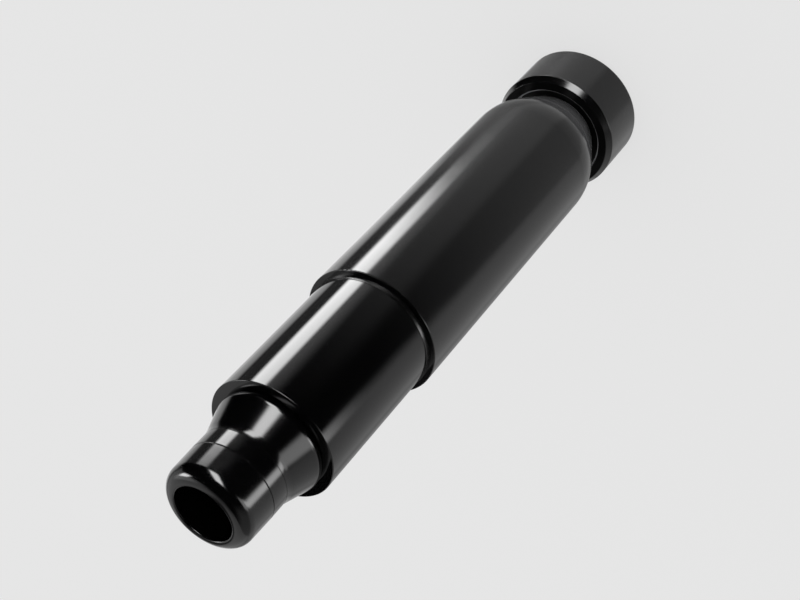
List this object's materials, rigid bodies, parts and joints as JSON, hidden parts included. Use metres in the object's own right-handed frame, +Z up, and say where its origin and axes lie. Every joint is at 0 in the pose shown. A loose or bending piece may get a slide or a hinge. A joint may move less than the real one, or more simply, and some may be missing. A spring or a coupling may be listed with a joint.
{
  "type": "telescopic hydraulic cylinder",
  "caption": "Black telescopic hydraulic cylinder on a flat threaded base cap, with a sliding stage, a plunger with a flared head and a hollow swivelling saddle.",
  "frame": {"origin": "centre of the base cap's underside, on the cylinder's axis", "axes": "+Z up the cylinder's axis from the base cap to the saddle, +Y towards the oil port in the base cap"},
  "size_m": [0.1, 0.1, 0.5105],
  "materials": {
    "cap_paint": "satin",
    "barrel_paint": "gloss",
    "gloss_black": "gloss",
    "stage_black": "gloss",
    "collar_black": "satin",
    "plunger_chrome": "polished",
    "turned_steel": "turned",
    "spring_steel": "oiled",
    "bronze": "turned",
    "copper": "plain",
    "seal_rubber": "matte",
    "seal_polyurethane": "matte",
    "guide_band": "matte"
  },
  "bodies": {
    "barrel": {"base_cap": "cap_paint", "lock_ring": "gloss_black", "barrel_tube": "barrel_paint", "base_o_ring": "seal_rubber", "barrel_gland_ring": "gloss_black", "barrel_gland_o_ring": "seal_rubber", "barrel_guide_ring": "guide_band", "barrel_rod_seal": "seal_polyurethane", "barrel_wiper": "seal_rubber"},
    "stage": {"stage_tube": "stage_black", "stage_guide_ring": "guide_band", "stage_rod_seal": "seal_polyurethane", "stage_wiper": "seal_rubber", "stage_piston_ring": "turned_steel", "stage_piston_guide": "guide_band", "stage_snap_ring": "spring_steel"},
    "plunger": {"plunger_tube": "plunger_chrome", "plunger_piston_ring": "turned_steel", "plunger_piston_guide": "guide_band", "plunger_snap_ring": "spring_steel", "plunger_head": "gloss_black", "head_o_ring": "seal_rubber", "bleed_washer": "copper", "bleed_screw": "spring_steel", "thrust_washer": "bronze", "collar_ring": "collar_black"},
    "saddle": {"saddle": "gloss_black", "saddle_snap_ring": "spring_steel"}
  },
  "joints": [
    {"name": "stage_slide", "type": "slide", "parent": "barrel", "child": "stage", "axis": [0, 0, 1], "range_m": [-0.112, 0.06]},
    {"name": "plunger_slide", "type": "slide", "parent": "stage", "child": "plunger", "axis": [0, 0, 1], "range_m": [0, 0.165]},
    {"name": "saddle_swivel", "type": "hinge", "parent": "plunger", "child": "saddle", "pos_m": [0, 0, 0.4795], "axis": [0, 0, 1], "continuous": true}
  ]
}
